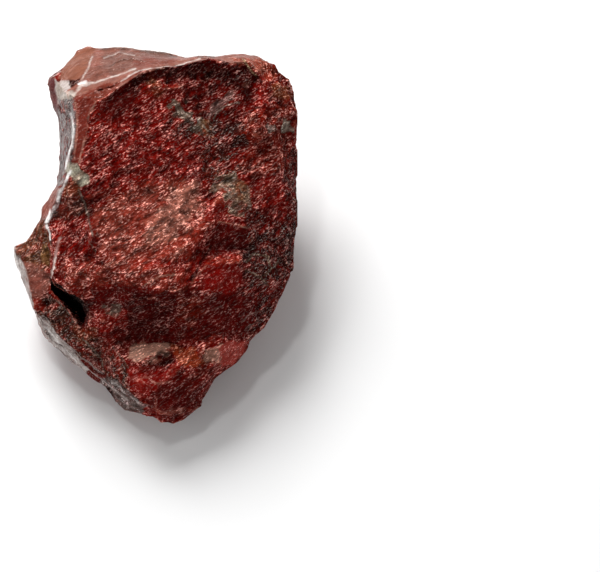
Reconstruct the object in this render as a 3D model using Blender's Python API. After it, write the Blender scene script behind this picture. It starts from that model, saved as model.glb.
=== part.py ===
"""A rough lump of red jasper, broken on every side, lying on the flat break of its underside.

The stone is drawn in a leaning frame, in millimetres: across to the right, up the broad front
break, and out towards whoever looks at it. A rim runs round the outline. Two sheets of corner
points, one in front and one behind, close the stone between them, and ridges hold the sharp
edges where two breaks meet. The sheets are cut into small triangles, the breaks between the
ridges are rounded off, and then they get their ledges, ripples and chips.
"""

import math
import random

import bmesh
import bpy
import numpy as np
from mathutils import Vector, noise
from mathutils.geometry import delaunay_2d_cdt
from mathutils.kdtree import KDTree

MM = 0.001
LEAN = math.radians(22.0)
OUTWARD = Vector((0.0, -math.sin(LEAN), math.cos(LEAN)))
FRAME_HEIGHT = 33.0
FRONT_SIDE = 2.5
BACK_SIDE = 4.4
SAME_PLACE = 1e-4
SPLITTING_PASSES = 5
SOFTENING_ROUNDS = 2
SEED = 41

# Small flat breaks: their spacing, how far one may press the surface, how sharply two of them
# meet, and how far each leans from the surface it cuts.
BREAK_SPACING = 7.0
BREAK_REACH = 1.6
BREAK_BLEND = 0.3
BREAK_TILT = 0.16

# The grain of the stone, and how much narrower than long its breaks are.
GRAIN = Vector((0.80, 0.56, 0.22)).normalized()
GRAIN_STRETCH = 0.62

# Ripples as (size, height), and the chips along the ridges in the same way.
RIPPLES = [(5.5, 0.30), (2.4, 0.26)]
CHIPS = (2.2, 0.45)
RIDGE_RIPPLE = 0.4

# The ways that the two clean breaks face, the band along the top and the strip down the left,
# and the share of the roughness that they keep.
CLEAN_WAYS = [Vector((0.0, 0.93, 0.37)), Vector((-1.0, 0.0, 0.0))]
CLEAN_SHARE = 0.3

# The outline, clockwise from the horn at the upper left.
RIM = [
    (-21.3, 31.6, -13.0), (-18.8, 33.4, -13.0), (-17.2, 35.2, -14.0), (-15.6, 36.8, -15.0),
    (-13.8, 37.8, -15.5), (-11.4, 37.6, -15.0), (-6.6, 37.9, -15.0), (-2.0, 37.2, -14.5),
    (2.6, 36.5, -14.0), (7.0, 35.8, -12.5), (10.8, 35.5, -11.0), (15.0, 36.0, -11.0),
    (18.0, 36.2, -12.0), (20.2, 35.7, -12.0), (22.0, 34.8, -12.0), (24.0, 34.2, -12.5),
    (24.9, 32.6, -12.5), (26.7, 31.2, -13.0), (27.7, 28.5, -13.5), (28.4, 25.2, -14.0),
    (28.5, 22.1, -14.0), (28.0, 19.6, -13.5), (28.4, 16.0, -14.5), (28.5, 11.0, -15.0),
    (28.4, 6.0, -15.5), (28.2, 1.2, -15.5), (27.9, -3.0, -15.0), (27.4, -8.0, -14.5),
    (25.6, -12.0, -14.0), (23.8, -15.2, -13.5), (22.0, -18.7, -13.5), (18.8, -20.8, -14.0),
    (18.0, -23.6, -14.5), (16.4, -25.8, -15.0), (14.0, -27.6, -15.0), (12.1, -29.0, -15.0),
    (10.3, -32.0, -15.0), (8.3, -35.0, -15.5), (5.8, -37.0, -15.5), (3.7, -37.8, -15.5),
    (1.1, -37.4, -15.5), (-0.6, -36.3, -16.0), (-3.6, -35.6, -16.5), (-6.2, -35.2, -17.0),
    (-7.8, -33.7, -17.5), (-10.6, -30.4, -18.0), (-14.2, -27.6, -18.0), (-18.4, -24.4, -18.0),
    (-21.3, -21.2, -18.5), (-23.4, -17.7, -18.5), (-25.4, -13.1, -18.5), (-26.7, -9.5, -18.0),
    (-28.2, -6.2, -18.0), (-28.6, -4.0, -17.5), (-28.3, -2.3, -17.0), (-25.9, -1.4, -16.0),
    (-24.6, 0.7, -15.5), (-23.1, 3.8, -15.0), (-22.8, 5.6, -14.5), (-21.2, 7.9, -14.5),
    (-19.5, 10.0, -15.0), (-19.1, 13.4, -15.0), (-19.3, 17.0, -14.5), (-19.5, 20.6, -14.0),
    (-19.6, 24.0, -13.5), (-20.6, 25.8, -13.5), (-21.2, 27.8, -13.5),
]

SHOULDER = (-16.2, 27.6, 0.0)
SLAB_HEEL = (-20.1, -8.6, -3.8)
DARK_CORNER = (-11.6, 26.5, 0.8)

# Sharp edges of the front sheet.
FRONT_RIDGES = {
    "brow": [
        SHOULDER, DARK_CORNER, (-9.6, 27.3, 0.6), (-7.0, 29.4, 0.0), (-5.0, 30.7, -0.6),
        (-3.0, 32.1, -1.3), (-1.0, 32.9, -1.8), (1.0, 33.3, -2.2), (5.0, 33.6, -2.8),
        (7.2, 34.5, -3.6), (10.6, 35.2, -4.6), (13.2, 34.8, -4.6), (15.0, 34.4, -4.8),
        (18.8, 34.6, -5.6), (20.2, 33.0, -6.0), (21.2, 31.4, -6.4), (22.4, 29.4, -7.0),
    ],
    "top_vein": [SHOULDER, (-14.2, 29.4, -2.0), (-11.0, 30.6, -2.8), (-7.6, 31.6, -3.4), (-5.0, 30.7, -0.6)],
    "top_corner": [SHOULDER, (-18.6, 29.0, -6.0), (-20.2, 31.4, -10.5), (-21.3, 31.6, -13.0)],
    "horn_side": [(-20.2, 31.4, -10.5), (-20.0, 28.4, -10.5), (-19.8, 26.0, -11.0), (-20.6, 25.8, -13.5)],
    "bevel": [DARK_CORNER, (-12.8, 24.4, 1.2), (-13.4, 21.4, 1.4), (-14.0, 18.0, 1.2), (-15.2, 14.4, 0.8)],
    "left_edge": [
        SHOULDER, (-16.0, 24.0, 0.3), (-16.2, 20.0, 0.4), (-16.8, 16.6, 0.2), (-17.2, 13.6, -0.4),
        (-18.4, 10.4, -1.6), (-20.0, 7.0, -3.0), (-21.5, 2.6, -4.4), (-21.8, 1.6, -4.6),
        (-20.8, -1.0, -4.2), (-20.3, -3.0, -4.0), (-20.2, -6.0, -3.9), SLAB_HEEL,
    ],
    "cheek_edge": [(-18.5, 3.0, -2.6), (-18.5, 1.0, -2.0), (-19.2, -2.0, -2.2), (-19.6, -4.2, -2.6), SLAB_HEEL],
    "slab_foot": [
        (-19.2, 9.4, -10.0), (-20.1, 7.2, -10.3), (-21.0, 5.0, -10.5), (-21.7, 3.4, -10.0),
        (-22.3, 1.7, -9.8), (-21.5, -1.0, -10.0), (-21.0, -3.4, -10.0), (-20.9, -6.2, -10.5),
        (-21.1, -8.6, -11.0),
    ],
    "overhang": [
        SLAB_HEEL, (-16.9, -11.1, -3.3), (-14.5, -13.3, -3.2), (-13.2, -14.8, -3.8),
        (-12.8, -17.0, -5.5), (-13.4, -18.6, -7.8),
    ],
    "cavity_floor": [
        (-21.1, -8.6, -11.0), (-20.2, -9.9, -13.5), (-18.2, -11.9, -15.0), (-16.2, -13.6, -15.5),
        (-14.5, -15.4, -14.0), (-14.2, -17.4, -10.5),
    ],
    "cavity_lip": [(-21.0, -11.0, -10.8), (-19.4, -13.0, -10.2), (-17.2, -15.0, -9.8), (-15.4, -18.2, -9.3)],
    "rear_edge": [
        (-28.3, -2.3, -17.0), (-26.8, -4.4, -12.8), (-26.0, -7.0, -12.0), (-25.2, -10.0, -12.5),
        (-24.2, -13.4, -13.0), (-23.8, -16.0, -14.0), (-22.0, -17.2, -13.5), (-19.8, -19.6, -12.8),
        (-18.8, -21.6, -12.8), (-16.6, -23.6, -12.8), (-15.0, -26.2, -13.5), (-13.0, -27.6, -14.4),
        (-10.6, -29.2, -15.4),
    ],
    "toe_edge": [
        (-10.6, -29.2, -15.4), (-10.0, -27.2, -10.6), (-7.8, -27.8, -8.4), (-6.2, -30.2, -7.6),
        (-4.2, -32.6, -8.2), (-2.4, -34.4, -10.2), (-0.6, -36.3, -16.0),
    ],
    "shelf_back": [(-5.8, -22.2, -8.2), (-3.0, -22.0, -8.8), (0.0, -21.6, -9.0), (3.0, -21.6, -8.6), (6.0, -22.6, -7.6)],
    "shelf_edge": [(-5.6, -24.4, -6.6), (-2.4, -25.4, -5.6), (0.6, -25.4, -5.4), (3.0, -24.0, -5.9), (6.0, -23.8, -6.2)],
    "chip": [
        (13.4, -20.8, -6.0), (17.6, -21.2, -10.5), (16.8, -24.2, -11.0), (14.8, -26.0, -10.8),
        (12.3, -25.4, -6.3), (13.4, -20.8, -6.0),
    ],
    "tip_lip": [(-1.0, -35.0, -10.5), (2.0, -36.2, -10.8), (5.0, -35.6, -10.5), (7.2, -33.6, -9.8), (8.4, -31.4, -9.6)],
    "crest": [
        (-15.0, -5.6, -0.6), (-11.0, -6.8, 1.0), (-6.0, -7.4, 2.0), (-1.0, -6.8, 2.6),
        (3.4, -4.6, 2.3), (7.0, -1.4, 0.9), (10.0, 1.4, -0.6), (11.8, 2.6, -1.6),
    ],
    "drop": [
        (-15.0, -9.2, -1.8), (-10.0, -9.9, -0.4), (-5.0, -10.3, 1.0), (0.0, -10.7, 1.6),
        (5.0, -11.0, 1.0), (9.0, -8.6, -1.0),
    ],
    "plate": [(11.8, 2.6, -1.6), (15.4, 2.0, -3.4), (18.4, 1.4, -5.0), (18.0, -2.8, -6.0), (13.4, -3.0, -4.2), (11.6, -1.6, -3.4), (11.8, 2.6, -1.6)],
    "pane": [
        (9.0, -8.6, -1.0), (11.2, -5.2, -1.2), (14.2, -5.1, -2.6), (17.2, -5.4, -4.2),
        (16.2, -10.6, -5.2), (11.4, -11.0, -2.4), (9.0, -8.6, -1.0),
    ],
}

# Rounded places of the front sheet: swells and hollows of the broad break, then its margins.
FRONT_SWELLS = [
    (-7.0, 23.4, -1.0), (-1.0, 28.6, -3.6), (-1.0, 22.0, -3.2), (5.0, 29.8, -4.6), (6.0, 22.0, -4.8),
    (12.0, 31.0, -6.4), (12.0, 21.0, -6.0), (18.0, 27.0, -7.2), (18.0, 21.0, -6.4), (19.6, 30.4, -8.0),
    (23.6, 31.6, -9.0), (24.8, 28.0, -8.6), (26.2, 23.0, -8.8), (23.0, 23.0, -6.6), (-9.0, 17.0, -0.4),
    (-3.0, 17.0, -2.6), (4.0, 17.0, -3.8), (11.0, 16.0, -5.2), (18.0, 16.0, -6.0), (24.0, 17.0, -7.2),
    (26.6, 15.0, -9.8), (-12.0, 9.0, 0.2), (-7.0, 9.0, -0.6), (-1.0, 9.0, -1.6), (6.0, 9.0, -2.6),
    (12.0, 9.0, -4.2), (18.0, 8.0, -5.8), (24.0, 8.0, -7.8), (26.8, 6.0, -10.6), (-17.2, 7.6, -1.8),
    (-15.0, 6.0, -1.0), (-14.0, 1.0, 0.3), (-9.0, 1.4, 1.0), (-3.0, 1.4, 0.8), (3.0, 2.6, -0.3),
    (8.0, 4.4, -1.8), (10.0, -4.4, -2.6), (8.4, -6.4, -1.4), (22.0, -2.0, -7.2), (22.0, -8.0, -7.8),
    (25.6, -1.0, -9.8), (25.4, -7.0, -10.4), (19.0, -13.0, -7.2), (22.8, -12.0, -10.0), (-10.0, -13.0, -3.0),
    (-5.0, -14.0, -2.2), (1.0, -14.6, -2.6), (7.0, -14.0, -2.8), (13.0, -14.6, -5.0), (-9.0, -18.0, -5.8),
    (-3.0, -18.6, -7.2), (3.0, -19.0, -7.6), (9.0, -19.0, -6.4), (14.6, -17.6, -7.0), (18.6, -17.2, -9.8),
    (10.0, -22.2, -5.8), (-3.0, -28.6, -5.2), (1.0, -29.0, -4.8), (5.0, -27.4, -4.8), (9.0, -25.0, -5.2),
    (-1.0, -32.6, -7.0), (4.0, -33.2, -7.4), (7.0, -30.6, -7.2), (10.2, -28.0, -8.6), (-11.0, -21.0, -8.2),
    (-8.6, -23.4, -7.6), (-24.0, 0.2, -12.4), (-24.0, -3.0, -10.8), (-22.3, -5.0, -9.8), (-23.0, -9.6, -10.6),
    (-22.3, -13.0, -11.0), (-22.2, -15.4, -13.0), (-19.0, -17.4, -10.8), (-16.0, -20.6, -10.0),
    (-13.0, -23.0, -9.6), (-12.4, -25.6, -11.2), (-22.0, 6.0, -12.2), (-15.4, 34.0, -9.8),
    (-10.0, 34.6, -8.2), (-3.0, 35.0, -8.4), (3.0, 35.0, -7.8), (17.0, 35.4, -8.6), (22.4, 33.4, -8.6),
    (-18.0, 20.0, -7.4), (-18.2, 13.0, -8.4),
]

# The sheet behind, given on the ground: across, away from the viewer, and height above the floor.
REST_FACE = [
    (-11.5, -8.5), (-4.0, -12.5), (4.5, -13.5), (11.0, -9.5), (14.5, -3.0), (16.5, 5.5), (14.0, 13.5),
    (15.0, 20.0), (7.0, 25.5), (-1.5, 24.5), (-8.0, 27.0), (-13.0, 19.0), (-15.5, 9.0), (-12.8, 0.5),
]
BACK_RIDGES = {
    "heel_far": [(-1.5, 24.5, 0.0), (-2.4, 35.0, 6.5), (0.5, 41.2, 18.0), (1.5, 40.8, 27.0)],
    "heel_left": [(-13.0, 19.0, 0.0), (-16.4, 26.0, 7.0), (-17.5, 34.0, 20.0), (-20.0, 33.0, 31.0)],
    "heel_right": [(15.0, 20.0, 0.0), (20.5, 27.0, 8.5), (24.0, 30.5, 21.0), (23.6, 34.0, 30.0)],
    "flank_left": [(-15.5, 9.0, 0.0), (-20.5, 4.0, 6.0), (-26.0, 1.5, 10.5)],
    "flank_right": [(16.5, 5.5, 0.0), (23.5, 4.5, 6.5), (27.0, 5.5, 13.0)],
    "belly": [(4.5, -13.5, 0.0), (5.0, -20.5, 2.2), (6.0, -27.5, 5.0)],
    "belly_left": [(-11.5, -8.5, 0.0), (-15.5, -12.5, 3.5), (-17.0, -14.4, 5.6)],
    "belly_right": [(11.0, -9.5, 0.0), (17.0, -9.0, 3.5), (20.6, -8.4, 7.5)],
}
BACK_SWELLS = [
    (-9.5, 33.5, 5.5), (-9.0, 38.8, 15.0), (-8.0, 40.4, 25.0), (8.0, 35.0, 7.0), (12.0, 38.4, 15.0),
    (14.0, 37.6, 26.0), (-18.5, 14.0, 7.0), (-19.4, 12.0, 14.0), (-18.6, 24.0, 16.0), (21.8, 17.0, 6.0),
    (26.6, 17.0, 14.0), (27.0, 27.0, 21.0), (25.6, -4.0, 9.5), (20.6, -3.0, 4.0), (-19.6, -7.0, 5.0),
    (-23.6, -6.0, 9.4), (-4.0, -19.0, 2.2), (-5.0, -25.0, 4.6), (10.4, -17.0, 3.0), (10.6, -21.0, 5.0),
]

JASPER_RED = (0.19, 0.030, 0.022, 1.0)
JASPER_ROUGHNESS = 0.34


def from_leaning(across, up, out):
    """A point of the leaning frame as (x, y, height above the floor), in millimetres."""
    sin, cos = math.sin(LEAN), math.cos(LEAN)
    return (across, up * cos - out * sin, up * sin + out * cos + FRAME_HEIGHT)


def to_leaning(x, y, height):
    """A point over the floor in the leaning frame's terms."""
    sin, cos = math.sin(LEAN), math.cos(LEAN)
    lift = height - FRAME_HEIGHT
    return (x, y * cos + lift * sin, -y * sin + lift * cos)


def sheet(rim, ridges, swells):
    """Triangles of one sheet: its points, its faces and the pairs of points that are ridges."""
    points = list(rim)
    pairs = []
    for line in ridges:
        ends = []
        for point in line:
            known = [i for i, p in enumerate(points) if math.dist(p[:2], point[:2]) < SAME_PLACE]
            if not known:
                points.append(point)
            ends.append(known[0] if known else len(points) - 1)
        pairs += list(zip(ends, ends[1:]))
    points += swells
    flat = [Vector(p[:2]) for p in points]
    outline = list(range(len(rim)))[::-1]
    found, _, faces, sources, _, _ = delaunay_2d_cdt(flat, pairs, [outline], 1, SAME_PLACE)
    lost = [tuple(round(c, 1) for c in found[i]) for i, s in enumerate(sources) if not s]
    if lost:
        raise ValueError(f"ridges cross at {lost}")
    depth_of = [points[s[0]] for s in sources]
    return depth_of, faces, pairs, points


def cage():
    """The stone's coarse closed mesh, with its ridges marked as sharp edges."""
    under = [to_leaning(x, y, 0.0) for x, y in REST_FACE]
    back_ridges = [[to_leaning(*p) for p in line] for line in BACK_RIDGES.values()]
    back_ridges.append(under + under[:1])
    front = sheet(RIM, FRONT_RIDGES.values(), FRONT_SWELLS)
    back = sheet(RIM, back_ridges, [to_leaning(*p) for p in BACK_SWELLS])
    mesh = bmesh.new()
    made = {}

    def vertex(point):
        key = tuple(round(c, 3) for c in point)
        if key not in made:
            made[key] = mesh.verts.new(from_leaning(*point))
        return made[key]

    for turned, (points, faces, _, _) in ((False, front), (True, back)):
        for face in faces:
            corners = [vertex(points[i]) for i in face]
            mesh.faces.new(corners[::-1] if turned else corners)
    for edge in mesh.edges:
        edge.smooth = True
    rim_pairs = [(RIM[i - 1], RIM[i]) for i in range(len(RIM))]
    ridge_pairs = [(points[a], points[b]) for _, _, pairs, points in (front, back) for a, b in pairs]
    for a, b in rim_pairs + ridge_pairs:
        edge = mesh.edges.get((vertex(a), vertex(b)))
        if edge:
            edge.smooth = False
            edge.seam = (a, b) in rim_pairs
    return mesh


def longest(edge):
    """How long a side may stay: short in front, where the breaks show, and longer behind."""
    front = any(face.normal.dot(OUTWARD) > 0.05 for face in edge.link_faces)
    return FRONT_SIDE if front else BACK_SIDE


def on_rest_face(edge):
    return all(abs(v.co.z) < SAME_PLACE for v in edge.verts)


def refine(mesh):
    """Splits the edges that are too long, in a few passes. The halves of a ridge stay ridges."""
    for _ in range(SPLITTING_PASSES):
        mesh.normal_update()
        long = [e for e in mesh.edges if e.calc_length() > longest(e) and not on_rest_face(e)]
        if not long:
            break
        bmesh.ops.subdivide_edges(mesh, edges=long, cuts=1)
        wide = [f for f in mesh.faces if len(f.verts) > 3]
        bmesh.ops.triangulate(mesh, faces=wide)
        soft = [e for e in mesh.edges if e.smooth]
        bmesh.ops.beautify_fill(mesh, faces=mesh.faces[:], edges=soft, method="ANGLE")


def soften(mesh):
    """Rounds the breaks between the ridges, and leaves the ridges where they are."""
    for _ in range(SOFTENING_ROUNDS):
        moved = []
        for vert in mesh.verts:
            held = vert.co.z < SAME_PLACE or on_ridge(vert)
            near = [e.other_vert(vert).co for e in vert.link_edges]
            middle = sum(near, Vector()) / len(near)
            moved.append(vert.co.copy() if held else vert.co.lerp(middle, 0.5))
        for vert, place in zip(mesh.verts, moved):
            vert.co = place


def along_grain(place):
    """The point with the stone's grain pressed together, so that breaks grow long along it."""
    return place + (GRAIN_STRETCH - 1.0) * place.dot(GRAIN) * GRAIN


def on_ridge(vert):
    return any(not e.smooth for e in vert.link_edges)


def coarseness(vert):
    """1 on the hackly breaks, and down to CLEAN_SHARE on the two clean ones."""
    if vert.normal.dot(OUTWARD) < -0.1:
        return 1.0
    facing = max(vert.normal.dot(way) for way in CLEAN_WAYS)
    clean = min(1.0, max(0.0, (facing - 0.45) / 0.3))
    return 1.0 - (1.0 - CLEAN_SHARE) * clean


def away_from_ridge(vert):
    """0 on a ridge, a half for its neighbours, and 1 elsewhere."""
    if on_ridge(vert):
        return 0.0
    return 0.5 if any(on_ridge(e.other_vert(vert)) for e in vert.link_edges) else 1.0


def break_middles(verts, draw):
    """Uneven middles for the small breaks, in the pressed space of along_grain, as a tree."""
    middles = []
    for vert in draw.sample(verts, len(verts)):
        place = along_grain(vert.co)
        room = BREAK_SPACING * draw.uniform(0.55, 1.25)
        if all((place - other).length > room for other in middles):
            middles.append(place)
    tree = KDTree(len(middles))
    for i, place in enumerate(middles):
        tree.insert(place, i)
    tree.balance()
    return tree, len(middles)


def break_planes(verts, tree, count, draw):
    """For each small break, a point on its plane and the way it faces."""
    members = [[] for _ in range(count)]
    for vert in verts:
        members[tree.find(along_grain(vert.co))[1]].append(vert)
    planes = []
    for group in members:
        at = sum((v.co for v in group), Vector()) / len(group)
        normal = sum((v.normal for v in group), Vector()).normalized()
        tilt = Vector([draw.uniform(-BREAK_TILT, BREAK_TILT) for _ in range(3)])
        planes.append((at, (normal + tilt).normalized()))
    return planes


def break_flat(mesh):
    """Presses the surface towards many small flat breaks, which meet in crooked low edges."""
    mesh.normal_update()
    draw = random.Random(SEED)
    verts = [v for v in mesh.verts if v.co.z > SAME_PLACE]
    tree, count = break_middles(verts, draw)
    planes = break_planes(verts, tree, count, draw)
    shifts = []
    for vert in verts:
        near = tree.find_n(along_grain(vert.co), 3)
        total, weights = 0.0, SAME_PLACE
        for _, i, distance in near:
            at, normal = planes[i]
            facing = normal.dot(vert.normal)
            if facing > 0.5:
                weight = math.exp((near[0][2] - distance) / BREAK_BLEND)
                press = (at - vert.co).dot(normal) / facing
                total += weight * max(-BREAK_REACH, min(BREAK_REACH, press))
                weights += weight
        shifts.append(away_from_ridge(vert) * coarseness(vert) * total / weights)
    for vert, shift in zip(verts, shifts):
        vert.co += vert.normal * shift


def roughen(mesh):
    """Moves each point along its normal: ripples and, on the ridges inside the rim, chips."""
    mesh.normal_update()
    size, depth = CHIPS
    elsewhere = Vector((9.0, 4.0, 2.0))
    shifts = []
    for vert in mesh.verts:
        place = along_grain(vert.co)
        shift = coarseness(vert) * sum(high * noise.noise(place / wide) for wide, high in RIPPLES)
        if on_ridge(vert):
            shift *= RIDGE_RIPPLE
            if not any(e.seam for e in vert.link_edges):
                shift -= depth * max(0.0, noise.noise(place / size + elsewhere))
        shifts.append(0.0 if vert.co.z < SAME_PLACE else shift)
    for vert, shift in zip(mesh.verts, shifts):
        vert.co += vert.normal * shift
        vert.co.z = max(vert.co.z, 0.0)


def jasper_material():
    material = bpy.data.materials.new("red_jasper")
    material.use_nodes = True
    shader = material.node_tree.nodes["Principled BSDF"]
    shader.inputs["Base Color"].default_value = JASPER_RED
    shader.inputs["Roughness"].default_value = JASPER_ROUGHNESS
    shader.inputs["Metallic"].default_value = 0.0
    return material


def centred(mesh):
    """Puts the middle of the footprint over the origin, and turns millimetres into metres."""
    places = np.array([v.co for v in mesh.verts])
    middle = (places.min(0) + places.max(0)) / 2
    for vert in mesh.verts:
        vert.co = Vector((vert.co.x - middle[0], vert.co.y - middle[1], vert.co.z)) * MM


def main():
    for old in list(bpy.data.objects):
        bpy.data.objects.remove(old)
    mesh = cage()
    refine(mesh)
    soften(mesh)
    break_flat(mesh)
    roughen(mesh)
    centred(mesh)
    data = bpy.data.meshes.new("jasper_stone")
    mesh.to_mesh(data)
    mesh.free()
    data.materials.append(jasper_material())
    stone = bpy.data.objects.new("jasper_stone", data)
    bpy.context.scene.collection.objects.link(stone)


main()
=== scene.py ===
"""A rough lump of red jasper on a pale floor, looked down on as it lies.

The solid stone from the frame gets its skin here. Its triangles are cut finer, its corners are
worn, and then the surface takes its grain: small flat breaks, thin steps, ripples and cuts. The
colours are painted on the points in millimetres of the stone's own leaning frame, which is across
to the right, up the broad front break, and out towards whoever looks at it. The marks' places were
noted on the photograph, in its pixels, and become those millimetres here.
"""
import math

import bmesh
import bpy
import numpy as np
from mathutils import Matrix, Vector


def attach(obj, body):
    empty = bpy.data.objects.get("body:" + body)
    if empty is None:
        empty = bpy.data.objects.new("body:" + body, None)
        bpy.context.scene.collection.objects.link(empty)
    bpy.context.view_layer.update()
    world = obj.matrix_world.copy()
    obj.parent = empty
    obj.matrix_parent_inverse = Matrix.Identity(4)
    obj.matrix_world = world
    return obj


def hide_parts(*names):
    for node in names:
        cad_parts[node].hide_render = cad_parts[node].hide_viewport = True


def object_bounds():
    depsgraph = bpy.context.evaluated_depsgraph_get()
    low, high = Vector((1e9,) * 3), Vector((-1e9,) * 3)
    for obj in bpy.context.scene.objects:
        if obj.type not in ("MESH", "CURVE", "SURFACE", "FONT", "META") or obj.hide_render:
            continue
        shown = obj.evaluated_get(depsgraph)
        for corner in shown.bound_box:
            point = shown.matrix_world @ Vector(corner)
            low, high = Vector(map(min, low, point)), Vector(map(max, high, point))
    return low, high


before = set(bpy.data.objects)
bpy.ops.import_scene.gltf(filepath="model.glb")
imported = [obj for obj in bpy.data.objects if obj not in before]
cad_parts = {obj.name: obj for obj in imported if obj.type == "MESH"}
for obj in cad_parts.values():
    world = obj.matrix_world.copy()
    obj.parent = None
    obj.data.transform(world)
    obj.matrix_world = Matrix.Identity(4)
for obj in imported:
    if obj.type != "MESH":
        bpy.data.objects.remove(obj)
CAD_BOX = [list(corner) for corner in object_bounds()]

MM = 0.001
LEAN = math.radians(22.0)
FRAME_HEIGHT = 33.0
FRAME_MIDDLE = (-0.023, 5.855)

# The pixel of the photograph that lies on the middle of the leaning frame, and how many of its pixels
# make a millimetre on the stone.
PHOTO_MIDDLE = (155, 235)
PIXELS_PER_MM = 5

# The longest edge that a triangle keeps, on the front and behind.
FINE_SIDE = 0.44
COARSE_SIDE = 1.15
SPLITTING_PASSES = 5

# The wear of the triangles' own edges, and the bend at which a ridge begins to stay sharp.
WEAR_ROUNDS = 8
WEAR_SHARE = 0.5
RIDGE_BEND = 0.03

# The grain of the stone, how much a length along it is shortened, and the same for the material.
GRAIN = np.array([0.80, 0.56, 0.22])
GRAIN_STRETCH = 0.42
GRAIN_TURN = (0.0, math.radians(-12.0), math.radians(30.0))
GRAIN_LENGTH = (2.6, 1.0, 1.0)

# Flat breaks: size, height, seed, blend, and the share of their height that a clean break loses.
BREAKS = [(4.6, 1.40, 11, 0.12, 0.70), (2.1, 0.50, 31, 0.12, 0.92), (1.1, 0.26, 51, 0.20, 0.92)]
# Ripples: size, height and seed.
RIPPLES = [(1.4, 0.12, 223), (0.7, 0.12, 227)]
# Thin steps: how far apart they are, how many there are for one swell, and half a step's height.
STEP_SIZE = 5.0
STEP_COUNT = 5
STEP_HEIGHT = 0.11
FINE_LOSS = 0.92
EDGE_ON_LOSS = 0.45

# The underside: where it begins, how soon the relief fades towards it, and its own roughness.
FLOOR_LEVEL = 1e-3
FADE_AT_FLOOR = 1.6
UNDERSIDE_ROUGHNESS = 0.5

# How much a painted highlight pales a crest and a painted shade darkens a hollow, and the angle of an edge
# that is drawn sharp.
CREST_PAINTED_HIGHLIGHT = 0.30
HOLLOW_PAINTED_SHADE = 0.55
SHARP_ANGLE = math.radians(38.0)

# How clean the breaks are behind, and how far the marks' edges wander.
BACK_CLEAN = 0.5
WANDER = 0.22


def paint(red, green, blue):
    """A colour given as it looks on a screen, from 0 to 255, as the shaders' linear value."""
    return tuple(((c / 255 + 0.055) / 1.055) ** 2.4 for c in (red, green, blue))


MAROON = paint(112, 22, 15)
DARK_RED = paint(76, 9, 7)
BLACK_RED = paint(33, 5, 4)
BLACK = paint(14, 8, 8)
RED = paint(138, 26, 16)
BRIGHT_RED = paint(122, 12, 7)
BROWN_RED = paint(104, 41, 25)
ROSE = paint(162, 102, 88)
ROSE_LIGHT = paint(212, 152, 134)
DARK_PINK = paint(112, 52, 48)
DUSTY_ROSE = paint(155, 70, 63)
SALMON_PALE = paint(240, 184, 162)
ORANGE_BROWN = paint(170, 98, 56)
ORANGE_RED = paint(160, 52, 34)
ORANGE_RED_DULL = paint(160, 88, 66)
OCHRE = paint(139, 94, 59)
OCHRE_BROWN = paint(105, 67, 41)
OCHRE_LIGHT = paint(143, 107, 65)
GREY_GREEN = paint(144, 142, 126)
SOOT = paint(48, 33, 29)
SPECKLED_BROWN = paint(81, 54, 43)
STONE_GREY = paint(172, 152, 130)
PALE_STONE = paint(210, 198, 184)
PINK_GREY = paint(170, 150, 142)
GREY_PINK = paint(156, 124, 118)
SPECKLED_DARK = paint(50, 20, 17)
TOP_PINK = paint(129, 81, 68)
TOP_BROWN = paint(106, 71, 61)
TOP_RED = paint(116, 56, 45)
TOP_BROWN_RED = paint(110, 66, 54)
TOP_GREY = paint(106, 84, 75)
ORANGE_SALMON = paint(122, 73, 55)
SHOULDER_RED = paint(108, 49, 38)
STRIP_GREY = paint(120, 116, 115)
CORNER_GREY = paint(170, 160, 148)
LEFT_MAROON = paint(92, 48, 48)
WHITE_PINK = paint(180, 169, 164)
BEVEL = paint(107, 46, 37)
QUARTZ = paint(186, 186, 164)
DARK_BROWN = paint(76, 50, 40)
REAR_PINK = paint(129, 80, 69)
REAR_OCHRE = paint(117, 81, 58)
RED_DULL = paint(124, 56, 46)
MIXED_BROWN = paint(85, 58, 46)
RIM_GREY = paint(196, 190, 186)
RIM_GREY_DARK = paint(160, 152, 150)
VEIN_PALE = paint(204, 192, 184)
VEIN_GREY = paint(150, 140, 128)
VEIN_YELLOW = paint(205, 180, 140)
WHITE = paint(240, 238, 236)
PINK_WHITE = paint(228, 208, 200)

# How much a colour is broken up by dark and light grains. The rest get PLAIN_SPECKLE.
PLAIN_SPECKLE = 0.22
SPECKLE = {
    STRIP_GREY: 0.85, SPECKLED_DARK: 0.9, SPECKLED_BROWN: 0.9, STONE_GREY: 0.8, GREY_GREEN: 0.6,
    MIXED_BROWN: 0.8, SOOT: 0.8, QUARTZ: 0.5, REAR_OCHRE: 0.5, RIM_GREY: 0.35, RIM_GREY_DARK: 0.45,
    TOP_PINK: 0.12, ORANGE_SALMON: 0.08,
}
# How smooth a break with this colour is, from 0, coarse, to 1, clean. The rest are coarse.
CLEAN = {
    TOP_PINK: 0.95, ORANGE_SALMON: 1.0, TOP_BROWN_RED: 0.9, SHOULDER_RED: 0.85, STRIP_GREY: 0.95,
    BEVEL: 0.8, TOP_BROWN: 0.85, TOP_RED: 0.9, LEFT_MAROON: 0.9, WHITE_PINK: 0.9, DUSTY_ROSE: 0.6,
    RIM_GREY: 0.7, CORNER_GREY: 0.8, REAR_PINK: 0.6, WHITE: 1.0, PINK_WHITE: 1.0, VEIN_PALE: 0.9,
    VEIN_GREY: 0.8, QUARTZ: 0.5, BRIGHT_RED: 0.75, DARK_RED: 0.5, SALMON_PALE: 0.25,
}
# How deep a mark in this colour is cut, in millimetres.
CUT = {BLACK: 0.35, BLACK_RED: 0.2}

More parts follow.
